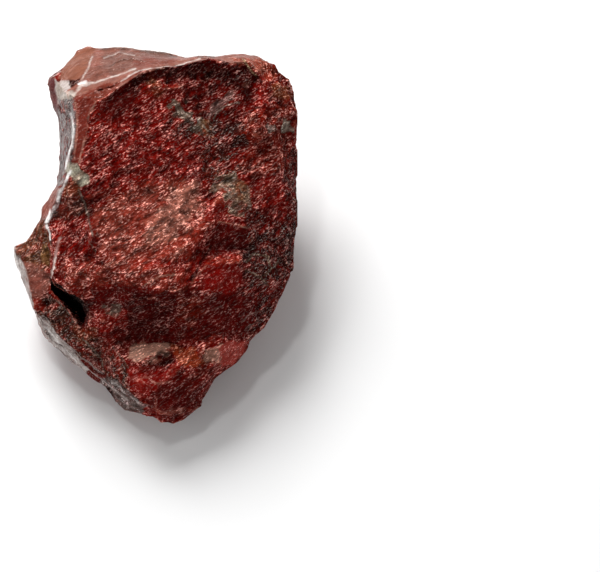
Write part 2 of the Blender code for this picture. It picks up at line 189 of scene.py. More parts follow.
# Patches, from the first painted to the last: colour, edge width and raggedness in millimetres,
# strength, and the corners in pixels of the photograph.
AREAS = [
    (MAROON, 1.20, 1.20, 0.6, [  # main upper
        (97, 102), (130, 80), (191, 62), (249, 62), (262, 80), (240, 130), (200, 175), (150, 180),
        (90, 180), (83, 150),
    ]),
    (BLACK_RED, 1.80, 2.00, 0.45, [  # upper right shade
        (185, 70), (250, 70), (257, 110), (230, 140), (195, 125),
    ]),
    (BLACK_RED, 1.00, 1.20, 0.75, [  # painted shade under the brow
        (160, 68), (191, 62), (228, 62), (252, 66), (262, 82), (240, 90), (200, 78), (170, 80),
        (150, 82), (120, 100), (105, 108), (112, 94), (140, 76),
    ]),
    (DARK_RED, 1.00, 1.00, 0.7, [  # upper left shade
        (100, 104), (118, 94), (140, 92), (135, 108), (118, 118), (96, 124),
    ]),
    (OCHRE, 0.60, 1.00, 0.45, [  # ochre flecks top
        (143, 80), (152, 78), (166, 90), (160, 98), (148, 92),
    ]),
    (GREY_GREEN, 0.90, 1.60, 0.7, [  # green streak
        (169, 101), (180, 103), (190, 114), (200, 122), (204, 132), (194, 132), (186, 124), (172, 116),
    ]),
    (SOOT, 0.80, 0.80, 0.7, [  # green dark
        (170, 118), (182, 122), (194, 134), (190, 142), (176, 138), (168, 128),
    ]),
    (GREY_PINK, 0.60, 1.00, 0.55, [  # grey streak right
        (206, 108), (232, 90), (236, 96), (216, 118), (208, 122),
    ]),
    (BROWN_RED, 1.20, 1.20, 0.7, [  # brown red right
        (238, 120), (262, 108), (286, 100), (290, 140), (284, 170), (262, 178), (240, 172), (244, 150),
    ]),
    (OCHRE, 0.60, 0.80, 0.65, [  # ochre spots mid
        (200, 122), (210, 120), (216, 130), (210, 138), (203, 134),
    ]),
    (SOOT, 1.40, 1.40, 0.8, [  # soot patch
        (203, 126), (218, 118), (238, 120), (246, 130), (246, 148), (236, 160), (214, 160), (202, 150),
    ]),
    (SPECKLED_BROWN, 1.00, 1.00, 0.7, [  # speckled below soot
        (200, 152), (236, 160), (244, 172), (222, 184), (206, 178), (198, 166),
    ]),
    (STONE_GREY, 0.80, 1.00, 0.8, [  # grey ochre patch
        (214, 176), (236, 174), (250, 190), (252, 206), (244, 218), (230, 216), (222, 200), (214, 190),
    ]),
    (OCHRE, 0.60, 0.80, 0.6, [  # ochre in grey
        (236, 182), (247, 184), (249, 200), (240, 204), (234, 194),
    ]),
    (OCHRE, 0.60, 1.00, 0.6, [  # ochre right top
        (272, 84), (286, 84), (289, 96), (278, 100), (270, 94),
    ]),
    (PALE_STONE, 0.40, 0.60, 0.85, [  # white chip right
        (282, 120), (291, 121), (292, 131), (284, 131),
    ]),
    (PINK_GREY, 0.40, 0.60, 0.7, [  # pink chip right
        (264, 127), (274, 125), (274, 133), (265, 134),
    ]),
    (DARK_RED, 0.80, 0.80, 0.8, [  # red right hollow
        (248, 176), (262, 176), (264, 198), (250, 196),
    ]),
    (MAROON, 1.00, 1.20, 0.6, [  # red right mid
        (258, 178), (292, 170), (294, 226), (262, 226),
    ]),
    (SPECKLED_DARK, 1.40, 1.40, 0.85, [  # dark right
        (238, 208), (262, 212), (296, 228), (293, 270), (282, 302), (262, 326), (246, 330), (240, 296),
        (240, 260), (244, 232),
    ]),
    (SOOT, 1.00, 0.80, 0.75, [  # painted shade along the right edge
        (286, 150), (298, 150), (298, 262), (288, 285), (284, 240), (284, 190),
    ]),
    (ROSE, 2.40, 1.80, 0.55, [  # sheen pink
        (110, 196), (168, 178), (200, 186), (208, 214), (190, 256), (150, 268), (112, 262), (98, 236),
        (96, 212),
    ]),
    (ROSE_LIGHT, 1.60, 1.60, 0.6, [  # sheen light
        (174, 186), (198, 186), (202, 206), (178, 236), (160, 250), (142, 244), (150, 222), (164, 204),
    ]),
    (MAROON, 1.00, 1.00, 0.6, [  # left slab red
        (60, 222), (80, 214), (94, 236), (92, 276), (60, 278), (57, 250),
    ]),
    (DARK_RED, 0.60, 0.60, 0.9, [  # flat plate
        (214, 224), (247, 228), (248, 250), (224, 254), (206, 256),
    ]),
    (BRIGHT_RED, 1.40, 1.60, 0.75, [  # red pane
        (205, 262), (226, 259), (243, 262), (242, 288), (230, 296), (208, 296), (200, 286),
    ]),
    (ORANGE_RED, 0.40, 0.60, 0.7, [  # pane top edge
        (212, 258), (240, 258), (242, 263), (226, 264), (208, 264),
    ]),
    (ROSE, 1.20, 1.60, 0.35, [  # painted sheen on the crest, pink
        (60, 262), (130, 264), (190, 268), (188, 290), (150, 288), (110, 282), (66, 288),
    ]),
    (DARK_RED, 1.20, 1.20, 0.85, [  # painted shade under the overhang
        (92, 290), (120, 284), (180, 292), (240, 296), (262, 300), (246, 334), (200, 340), (150, 344),
        (110, 338), (88, 318),
    ]),
    (BLACK_RED, 2.40, 1.60, 0.4, [  # painted shade, deepest under the overhang
        (128, 292), (178, 294), (182, 312), (160, 336), (128, 340), (122, 318),
    ]),
    (BROWN_RED, 0.80, 1.00, 0.6, [  # lower brown
        (178, 296), (198, 296), (204, 312), (192, 326), (180, 318),
    ]),
    (RED, 0.80, 1.00, 0.6, [  # lower red
        (96, 308), (126, 312), (126, 328), (104, 330), (92, 322),
    ]),
    (GREY_GREEN, 0.60, 0.80, 0.5, [  # lower green
        (102, 304), (120, 304), (120, 314), (104, 314),
    ]),
    (SALMON_PALE, 0.60, 0.80, 0.85, [  # shelf pink, salmon with painted light where it faces up
        (126, 346), (140, 344), (168, 342), (172, 350), (160, 360), (142, 362), (128, 358),
    ]),
    (DARK_PINK, 0.80, 1.00, 0.6, [  # shelf mid
        (96, 340), (124, 340), (128, 350), (112, 354), (100, 350),
    ]),
    (ORANGE_BROWN, 0.60, 1.00, 0.75, [  # shelf orange
        (172, 348), (198, 350), (202, 364), (184, 368), (176, 360),
    ]),
    (BLACK_RED, 0.60, 0.60, 0.8, [  # shelf shadow
        (160, 352), (172, 352), (176, 362), (164, 366), (150, 364),
    ]),
    (BRIGHT_RED, 1.40, 1.60, 0.75, [  # tip red
        (128, 364), (150, 366), (172, 368), (176, 384), (150, 392), (132, 392), (126, 378),
    ]),
    (DARK_RED, 1.00, 1.00, 0.75, [  # tip dark
        (150, 392), (180, 376), (206, 380), (212, 384), (200, 402), (184, 418), (164, 422), (150, 412),
        (144, 400),
    ]),
    (ROSE, 0.40, 0.80, 0.6, [  # tip glint
        (146, 406), (160, 410), (186, 410), (184, 416), (160, 416),
    ]),
    (DUSTY_ROSE, 0.40, 0.40, 0.95, [  # pink chip facet, its rose colour with painted light where it faces the light
        (220, 344), (228, 340), (246, 342), (243, 354), (234, 366), (224, 368), (217, 358),
    ]),
    (SALMON_PALE, 0.60, 0.80, 0.6, [  # speckled by chip
        (203, 350), (219, 346), (218, 362), (204, 360),
    ]),
    (DARK_PINK, 0.60, 0.80, 0.6, [  # red under chip
        (200, 362), (220, 368), (212, 380), (200, 378),
    ]),
    (TOP_PINK, 0.32, 0.30, 1.0, [  # top band
        (60, 80), (62, 66), (70, 55), (77, 50), (86, 45), (113, 43), (143, 47), (189, 54), (230, 53),
        (256, 55), (266, 60), (262, 76), (254, 69), (249, 63), (228, 63), (208, 59), (191, 63),
        (160, 68), (146, 72), (130, 81), (120, 87), (107, 97), (97, 102), (74, 97), (62, 92),
    ]),
    (TOP_BROWN, 1.00, 0.80, 0.7, [  # top brown
        (104, 50), (150, 51), (180, 56), (150, 66), (128, 72), (108, 76), (100, 66),
    ]),
    (TOP_RED, 0.60, 0.60, 0.55, [  # top reddish
        (146, 56), (180, 60), (160, 66), (140, 68), (132, 62),
    ]),
    (ORANGE_SALMON, 0.50, 0.40, 0.95, [  # orange facet
        (58, 78), (62, 67), (70, 55), (77, 49), (93, 46), (92, 57), (82, 80),
    ]),
    (TOP_BROWN_RED, 0.60, 0.60, 0.75, [  # brown pink patch
        (88, 68), (104, 66), (106, 79), (92, 82), (86, 78),
    ]),
    (SHOULDER_RED, 0.40, 0.40, 0.95, [  # shoulder red
        (76, 98), (90, 90), (104, 86), (122, 82), (132, 76), (144, 71), (130, 80), (120, 86), (107, 97),
        (97, 102),
    ]),
    (ORANGE_RED_DULL, 0.60, 0.80, 0.65, [  # right top red
        (230, 56), (264, 62), (276, 66), (280, 76), (272, 82), (262, 76), (252, 68), (240, 64),
    ]),
    (STRIP_GREY, 0.32, 0.24, 1.0, [  # strip
        (56, 96), (66, 92), (76, 98), (77, 120), (76, 150), (72, 162), (68, 178), (58, 190), (52, 190),
        (52, 104),
    ]),
    (CORNER_GREY, 0.40, 0.30, 0.9, [  # corner pale
        (56, 80), (62, 84), (66, 92), (76, 92), (76, 99), (62, 100), (55, 98),
    ]),
    (LEFT_MAROON, 0.24, 0.20, 0.95, [  # left maroon
        (46, 76), (55, 78), (56, 100), (58, 110), (50, 106), (46, 96),
    ]),
    (WHITE_PINK, 0.24, 0.16, 0.95, [  # white fragment
        (59, 80), (68, 80), (73, 88), (67, 92), (60, 87),
    ]),
    (BLACK_RED, 0.24, 0.16, 0.95, [  # corner pit
        (69, 80), (80, 78), (79, 83), (73, 89), (69, 83),
    ]),
    (BEVEL, 0.40, 0.40, 0.95, [  # bevel
        (75, 98), (97, 102), (91, 112), (89, 128), (85, 148), (79, 166), (72, 168), (75, 150),
        (77, 120),
    ]),
    (QUARTZ, 0.50, 0.50, 0.9, [  # quartz patch
        (67, 163), (78, 164), (90, 177), (92, 184), (82, 187), (74, 177), (66, 173),
    ]),
    (OCHRE_BROWN, 0.60, 0.60, 0.75, [  # ochre under quartz
        (66, 184), (76, 180), (84, 188), (80, 196), (66, 197),
    ]),
    (DARK_BROWN, 0.80, 0.80, 0.7, [  # brown under quartz
        (60, 198), (84, 194), (92, 216), (70, 220), (52, 218),
    ]),
    (REAR_PINK, 0.40, 0.30, 0.9, [  # rear pink strip
        (38, 206), (56, 186), (62, 190), (50, 218), (44, 222), (36, 216),
    ]),
    (REAR_OCHRE, 0.50, 0.50, 0.95, [  # rear ochre
        (10, 246), (27, 240), (38, 216), (47, 221), (52, 242), (53, 268), (40, 272), (24, 264),
        (10, 256),
    ]),
    (OCHRE_LIGHT, 0.60, 0.60, 0.75, [  # rear ochre spot
        (38, 250), (46, 246), (52, 256), (48, 264), (40, 262),
    ]),
    (REAR_PINK, 0.60, 0.60, 0.9, [  # rear pink
        (20, 262), (38, 266), (50, 274), (48, 290), (40, 300), (30, 298), (22, 280),
    ]),
    (RED_DULL, 0.60, 0.60, 0.8, [  # rear red
        (32, 296), (44, 298), (46, 310), (36, 318), (30, 308),
    ]),
    (MIXED_BROWN, 0.80, 0.80, 0.9, [  # rear mixed
        (46, 290), (60, 302), (78, 326), (104, 346), (128, 366), (128, 394), (110, 384), (84, 366),
        (58, 336), (40, 318),
    ]),
    (OCHRE_BROWN, 0.60, 0.80, 0.6, [  # rear ochre low
        (74, 326), (96, 326), (98, 338), (84, 344), (74, 336),
    ]),
    (DARK_RED, 0.60, 0.60, 0.85, [  # rear dark red
        (80, 358), (96, 358), (106, 376), (98, 386), (84, 372),
    ]),
    (RIM_GREY, 0.32, 0.28, 0.95, [  # rim grey
        (8, 250), (16, 254), (22, 266), (27, 284), (31, 300), (36, 314), (30, 318), (20, 300), (8, 270),
    ]),
    (RIM_GREY, 0.40, 0.40, 0.9, [  # rim striped
        (32, 314), (44, 320), (56, 332), (64, 342), (78, 358), (88, 370), (80, 376), (56, 360),
        (36, 336),
    ]),
    (RIM_GREY_DARK, 0.40, 0.40, 0.9, [  # rim low
        (98, 382), (108, 376), (118, 384), (130, 394), (146, 408), (140, 414), (118, 412), (108, 402),
    ]),
    (BLACK, 0.40, 0.30, 1.0, [  # painted shadow in the cavity
        (51, 279), (58, 282), (71, 291), (84, 301), (89, 311), (86, 319), (77, 314), (67, 304),
        (58, 297), (50, 288),
    ]),
    (BLACK_RED, 0.60, 0.40, 0.7, [  # painted shadow, the cavity's tail
        (86, 300), (92, 310), (90, 322), (80, 330), (76, 322),
    ]),
]

# Thin marks: colour, width in millimetres, strength, and the points along the line in pixels.
STROKES = [
    (VEIN_PALE, 0.30, 0.7, [  # top vein
        (92, 56), (89, 66), (84, 76), (82, 82),
    ]),
    (VEIN_PALE, 0.40, 0.6, [  # top light edge
        (104, 46), (125, 45.5), (140, 49), (165, 53),
    ]),
    (TOP_GREY, 0.50, 0.5, [  # top grey edge
        (96, 49), (118, 48), (150, 52), (190, 57), (214, 58),
    ]),
    (VEIN_PALE, 0.20, 0.5, [  # top lines a
        (104, 57), (118, 53), (134, 56),
    ]),
    (TOP_GREY, 0.24, 0.6, [  # top lines b
        (110, 66), (126, 60), (146, 62),
    ]),
    (VEIN_PALE, 0.24, 0.65, [  # brow edge
        (122, 82), (136, 73), (150, 69), (168, 67), (184, 64), (200, 59),
    ]),
    (VEIN_PALE, 0.36, 0.75, [  # shoulder vein
        (62, 96), (74, 94), (82, 86), (96, 83), (108, 79), (120, 75), (136, 69),
    ]),
    (WHITE, 0.52, 0.9, [  # white spot
        (80, 85), (87, 83),
    ]),
    (BLACK, 0.18, 0.9, [  # shoulder crack
        (99, 91), (106, 89), (112, 88), (119, 82),
    ]),
    (BLACK_RED, 0.20, 0.8, [  # shoulder crack low
        (92, 98), (101, 98), (108, 96),
    ]),
    (VEIN_YELLOW, 0.36, 0.75, [  # right top line
        (243, 61), (250, 68), (256, 76),
    ]),
    (VEIN_PALE, 0.28, 0.6, [  # corner left edge
        (49, 77), (54, 76), (60, 71),
    ]),
    (VEIN_PALE, 0.26, 0.7, [  # left maroon edge
        (55, 79), (55, 92), (57, 104),
    ]),
    (WHITE, 0.44, 0.85, [  # strip white
        (71, 114), (74, 128), (74, 140), (72, 150), (68, 158), (66, 168),
    ]),
    (SOOT, 0.20, 0.5, [  # strip dark
        (75, 140), (74, 152), (70, 162),
    ]),
    (SALMON_PALE, 0.32, 0.5, [  # bevel crest
        (97, 103), (91, 114), (89, 130), (85, 146), (80, 162),
    ]),
    (SALMON_PALE, 0.28, 0.4, [  # bevel foot
        (77, 104), (78, 124), (77, 144), (75, 160),
    ]),
    (WHITE, 0.70, 1.0, [  # slab white
        (71, 172), (67, 180), (60, 194), (56, 206), (50, 216), (47, 222),
    ]),
    (WHITE, 0.36, 1.0, [  # slab white low
        (47, 226), (49, 232), (51, 240),
    ]),
    (PINK_WHITE, 0.42, 1.0, [  # slab white heel
        (61, 238), (58, 250), (56, 262), (54, 272), (52, 279),
    ]),
    (BRIGHT_RED, 0.40, 0.7, [  # slab red line
        (62, 222), (62, 232), (59, 246), (57, 256),
    ]),
    (VEIN_GREY, 0.32, 0.65, [  # side vein
        (80, 190), (86, 204), (88, 214), (91, 226), (94, 236),
    ]),
    (VEIN_GREY, 0.20, 0.4, [  # side vein b
        (84, 226), (90, 240), (98, 254),
    ]),
    (WHITE, 0.32, 0.6, [  # rear edge line
        (14, 246), (13, 256), (17, 270), (23, 288), (29, 304), (34, 316),
    ]),
    (VEIN_PALE, 0.26, 0.6, [  # rear inner line
        (20, 262), (26, 272), (28, 288), (34, 304),
    ]),
    (BLACK, 0.32, 0.8, [  # rear crack
        (30, 314), (40, 312), (52, 322),
    ]),
    (BLACK, 0.24, 0.7, [  # rear crack b
        (60, 326), (56, 316), (52, 308),
    ]),
    (SOOT, 0.20, 0.6, [  # rim line a
        (40, 330), (50, 344), (64, 356), (80, 368),
    ]),
    (WHITE, 0.24, 0.6, [  # rim line b
        (44, 326), (54, 338), (66, 352), (80, 366),
    ]),
    (SOOT, 0.20, 0.5, [  # rim line c
        (104, 388), (114, 400), (124, 410),
    ]),
    (WHITE, 0.24, 0.5, [  # rim line d
        (112, 380), (122, 392), (138, 404),
    ]),
    (VEIN_GREY, 0.26, 0.5, [  # mixed line a
        (84, 338), (94, 352), (104, 366),
    ]),
    (VEIN_GREY, 0.26, 0.5, [  # mixed line b
        (112, 346), (122, 358), (128, 368),
    ]),
    (VEIN_GREY, 0.24, 0.5, [  # mixed line c
        (56, 300), (66, 312), (76, 324),
    ]),
    (BLACK_RED, 0.52, 0.85, [  # painted shade in the groove
        (212, 246), (205, 256), (198, 270), (192, 280),
    ]),
    (ROSE_LIGHT, 0.30, 0.6, [  # painted highlight on the groove's edge
        (212, 258), (204, 268), (197, 276), (192, 284),
    ]),
    (SALMON_PALE, 0.28, 0.6, [  # painted highlight on the plate's edge
        (218, 222), (232, 224), (247, 228),
    ]),
    (ROSE_LIGHT, 0.32, 0.5, [  # crest glint a
        (68, 276), (80, 272), (92, 276), (104, 270),
    ]),
    (ROSE_LIGHT, 0.36, 0.5, [  # crest glint b
        (104, 268), (112, 262), (122, 264),
    ]),
    (SALMON_PALE, 0.36, 0.6, [  # crest glint c
        (146, 284), (160, 276), (176, 274),
    ]),
    (GREY_PINK, 0.36, 0.6, [  # right low glint a
        (242, 322), (252, 314), (264, 310),
    ]),
    (GREY_PINK, 0.28, 0.5, [  # right low glint b
        (244, 330), (256, 322), (264, 318),
    ]),
    (GREY_PINK, 0.28, 0.5, [  # right low glint c
        (202, 314), (212, 309), (222, 306),
    ]),
    (STONE_GREY, 0.36, 0.6, [  # right grey a
        (246, 262), (254, 254), (266, 256), (270, 268),
    ]),
    (STONE_GREY, 0.32, 0.6, [  # right grey b
        (244, 270), (258, 276), (268, 284),
    ]),
    (STONE_GREY, 0.36, 0.5, [  # right grey c
        (262, 276), (272, 268), (280, 258),
    ]),
    (ROSE_LIGHT, 0.28, 0.6, [  # painted glint line on the tip a
        (136, 380), (146, 376), (156, 384), (170, 380),
    ]),
    (ROSE, 0.28, 0.5, [  # painted glint line on the tip b
        (168, 374), (178, 366), (186, 358),
    ]),
    (ROSE, 0.30, 0.6, [  # painted glint line on the tip c
        (150, 408), (162, 412), (178, 409), (190, 410),
    ]),
    (PALE_STONE, 0.24, 0.8, [  # green glint a
        (173, 105), (178, 111),
    ]),
    (PALE_STONE, 0.22, 0.7, [  # green glint b
        (181, 110), (188, 116), (193, 121),
    ]),
    (PALE_STONE, 0.24, 0.8, [  # green glint c
        (196, 119), (203, 125), (209, 132),
    ]),
    (PALE_STONE, 0.22, 0.6, [  # glints over the soot
        (214, 119), (219, 111), (228, 105), (240, 102),
    ]),
    (PALE_STONE, 0.26, 0.7, [  # grey patch glint a
        (221, 186), (227, 191), (230, 198),
    ]),
    (PALE_STONE, 0.24, 0.7, [  # grey patch glint b
        (238, 188), (242, 195),
    ]),
    (PALE_STONE, 0.24, 0.6, [  # grey patch glint c
        (228, 207), (235, 211), (241, 209),
    ]),
    (BLACK_RED, 0.30, 0.7, [  # soot edge
        (202, 133), (206, 148), (215, 160), (222, 173),
    ]),
    (SOOT, 0.26, 0.7, [  # rim streak a
        (38, 318), (52, 339), (72, 357),
    ]),
    (WHITE_PINK, 0.22, 0.7, [  # rim streak b
        (42, 315), (58, 336), (78, 355), (102, 373),
    ]),
    (SOOT, 0.24, 0.7, [  # rim streak c
        (61, 333), (82, 351), (106, 368),
    ]),
    (WHITE_PINK, 0.22, 0.7, [  # rim streak d
        (87, 369), (108, 385), (127, 402),
    ]),
]


def hashed(cell, seed):
    """A number from 0 to 1 for each row of three whole numbers."""
    x, y, z = cell.astype(np.int64).astype(np.uint64).T
    h = x * np.uint64(73856093) ^ y * np.uint64(19349663) ^ z * np.uint64(83492791)
    h = (h ^ np.uint64(seed * 668265263)) & np.uint64(0xFFFFFFFF)
    h = ((h ^ (h >> np.uint64(15))) * np.uint64(2246822519)) & np.uint64(0xFFFFFFFF)
    h = ((h ^ (h >> np.uint64(13))) * np.uint64(3266489917)) & np.uint64(0xFFFFFFFF)
    h ^= h >> np.uint64(16)
    return h.astype(np.float64) / 2 ** 32


def swell(places, seed):
    """Smooth noise from -1 to 1 with bumps about one unit apart."""
    cell = np.floor(places)
    part = places - cell
    part = part * part * part * (part * (part * 6 - 15) + 10)
    total = np.zeros(len(places))
    for corner in np.ndindex(2, 2, 2):
        corner = np.array(corner)
        weight = np.prod(np.where(corner == 1, part, 1 - part), axis=1)
        total += weight * hashed(cell + corner, seed)
    return total * 2 - 1


def rough(places, octaves, seed):
    """Noise of several sizes, each half of the one before."""
    return sum(swell(places * 2 ** k + 17.3 * k, seed + k) / 2 ** k for k in range(octaves)) / 1.6


def breaks(places, seed, blend):
    """Small tilted planes, one for each cell of an uneven honeycomb, in cell units."""
    base = np.floor(places)
    best = np.full((2, len(places)), 9.0)
    height = np.zeros((2, len(places)))
    for step in np.ndindex(3, 3, 3):
        cell = base + np.array(step) - 1
        seat = cell + np.stack([hashed(cell, seed + k) for k in range(3)], axis=1)
        away = places - seat
        distance = np.linalg.norm(away, axis=1)
        tilt = np.stack([hashed(cell, seed + 3 + k) for k in range(3)], axis=1) - 0.5
        plane = (away * tilt).sum(axis=1) + 0.5 * (hashed(cell, seed + 6) - 0.5)
        first = distance < best[0]
        second = ~first & (distance < best[1])
        best[1] = np.where(first, best[0], np.where(second, distance, best[1]))
        height[1] = np.where(first, height[0], np.where(second, plane, height[1]))
        best[0] = np.where(first, distance, best[0])
        height[0] = np.where(first, plane, height[0])
    own = 0.5 + 0.5 * np.clip((best[1] - best[0]) / blend, 0, 1)
    return height[0] * own + height[1] * (1 - own)


def ramp(value, low, high):
    """0 below low, 1 above high, and smooth between."""
    t = np.clip((value - low) / (high - low), 0, 1)
    return t * t * (3 - 2 * t)


def on_stone(points):
    """Pixels of the photograph as millimetres of the leaning frame, across and up."""
    x, y = PHOTO_MIDDLE
    return [((px - x) / PIXELS_PER_MM, (y - py) / PIXELS_PER_MM) for px, py in points]


def cad_stone(node):
    """The CAD node's points in millimetres and its triangles, with the doubled points joined."""
    mesh = bmesh.new()
    mesh.from_mesh(node.data)
    bmesh.ops.remove_doubles(mesh, verts=mesh.verts[:], dist=1e-6)
    bmesh.ops.triangulate(mesh, faces=mesh.faces[:])
    mesh.verts.index_update()
    places = np.array([v.co for v in mesh.verts], float) / MM
    faces = np.array([[v.index for v in f.verts] for f in mesh.faces])
    mesh.free()
    return places, faces


def sides(faces):
    """Each edge once, and for each triangle the numbers of its three edges."""
    pairs = np.sort(np.stack([faces, np.roll(faces, -1, axis=1)], axis=2).reshape(-1, 2), axis=1)
    span = faces.max() + 1
    keys, numbers = np.unique(pairs[:, 0] * span + pairs[:, 1], return_inverse=True)
    return np.stack([keys // span, keys % span], axis=1), numbers.reshape(-1, 3)


def split_long(places, faces):
    """Halves the edges that are too long and re-cuts the triangles beside them."""
    edges, numbers = sides(faces)
    ends = places[edges]
    length = np.linalg.norm(ends[:, 0] - ends[:, 1], axis=1)
    middle = ends.mean(axis=1)
    facing = leaning_out(normals(places, faces))[edges].max(axis=1)
    limit = COARSE_SIDE + (FINE_SIDE - COARSE_SIDE) * ramp(facing, -0.35, 0.0)
    long = length > limit
    new = np.full(len(edges), -1)
    new[long] = len(places) + np.arange(long.sum())
    places = np.vstack([places, middle[long]])
    halves = new[numbers]
    code = (halves >= 0) @ np.array([1, 2, 4])
    turn = np.array([0, 0, 1, 0, 2, 2, 1, 0])[code]
    order = (np.arange(3) + turn[:, None]) % 3
    a, b, c = np.take_along_axis(faces, order, 1).T
    p, q, r = np.take_along_axis(halves, order, 1).T
    count = (halves >= 0).sum(axis=1)
    made = [faces[count == 0]]

    def add(rows, *triangles):
        made.extend(np.stack([t[rows] for t in triangle], axis=1) for triangle in triangles)

    add(count == 1, (a, p, c), (p, b, c))
    add(count == 2, (p, b, q))
    across = np.linalg.norm(places[a] - places[q], axis=1) < np.linalg.norm(places[p] - places[c], axis=1)
    add((count == 2) & across, (a, p, q), (a, q, c))
    add((count == 2) & ~across, (a, p, c), (p, q, c))
    add(count == 3, (a, p, r), (p, b, q), (r, q, c), (p, q, r))
    return places, np.vstack(made)


def normals(places, faces):
    """The unit normal at each point."""
    a, b, c = places[faces].transpose(1, 0, 2)
    cross = np.cross(b - a, c - a)
    total = np.stack([
        np.bincount(faces.ravel(), np.repeat(cross[:, k], 3), len(places)) for k in range(3)
    ], axis=1)
    return total / np.maximum(np.linalg.norm(total, axis=1), 1e-9)[:, None]


def leaning_out(vectors):
    """How far each vector points out of the front break."""
    return vectors @ np.array([0.0, -math.sin(LEAN), math.cos(LEAN)])


def to_leaning(places):
    """Millimetres of the frame as across, up and out."""
    x = places[:, 0] + FRAME_MIDDLE[0]
    y = places[:, 1] + FRAME_MIDDLE[1]
    lift = places[:, 2] - FRAME_HEIGHT
    sin, cos = math.sin(LEAN), math.cos(LEAN)
    return np.stack([x, y * cos + lift * sin, lift * cos - y * sin], axis=1)


def from_leaning(across, up, out):
    """A point of the leaning frame in the frame's metres."""
    sin, cos = math.sin(LEAN), math.cos(LEAN)
    x, y = across - FRAME_MIDDLE[0], up * cos - out * sin - FRAME_MIDDLE[1]
    return Vector((x, y, up * sin + out * cos + FRAME_HEIGHT)) * MM


def neighbours_mean(values, edges):
    """For each point, the mean of its neighbours' values."""
    count = np.bincount(edges.ravel(), minlength=len(values))
    a, b = edges.T
    total = np.stack([
        np.bincount(a, values[b, k], len(values)) + np.bincount(b, values[a, k], len(values))
        for k in range(values.shape[1])
    ], axis=1)
    return total / np.maximum(count, 1)[:, None]


def wear(places, faces):
    """Rounds off the triangles' own edges and leaves the sharp ridges of the stone."""
    edges, _ = sides(faces)
    floor = places[:, 2] < FLOOR_LEVEL
    for _ in range(WEAR_ROUNDS):
        normal = normals(places, faces)
        bend = 1 - (neighbours_mean(normal, edges) * normal).sum(axis=1)
        share = WEAR_SHARE / (1 + (bend / RIDGE_BEND) ** 2)
        share[floor] = 0
        places = places + (neighbours_mean(places, edges) - places) * share[:, None]
    return places


def inside_depth(points, corners):
    """How far each point is inside a polygon, in millimetres. Outside it is below zero."""
    corners = np.array(corners)
    inside = np.zeros(len(points), bool)
    nearest = np.full(len(points), 1e9)
    x, y = points.T
    for (ax, ay), (bx, by) in zip(corners, np.roll(corners, -1, axis=0)):
        crosses = (ay > y) != (by > y)
        at = ax + (y - ay) * (bx - ax) / (by - ay if by != ay else 1e-9)
        inside ^= crosses & (x < at)
        nearest = np.minimum(nearest, line_distance(points, (ax, ay), (bx, by)))
    return np.where(inside, nearest, -nearest)


def line_distance(points, a, b):
    """How far each point is from the line between two places."""
    a, b = np.array(a), np.array(b)
    along = np.clip(((points - a) @ (b - a)) / max((b - a) @ (b - a), 1e-9), 0, 1)
    return np.linalg.norm(points - a - along[:, None] * (b - a), axis=1)


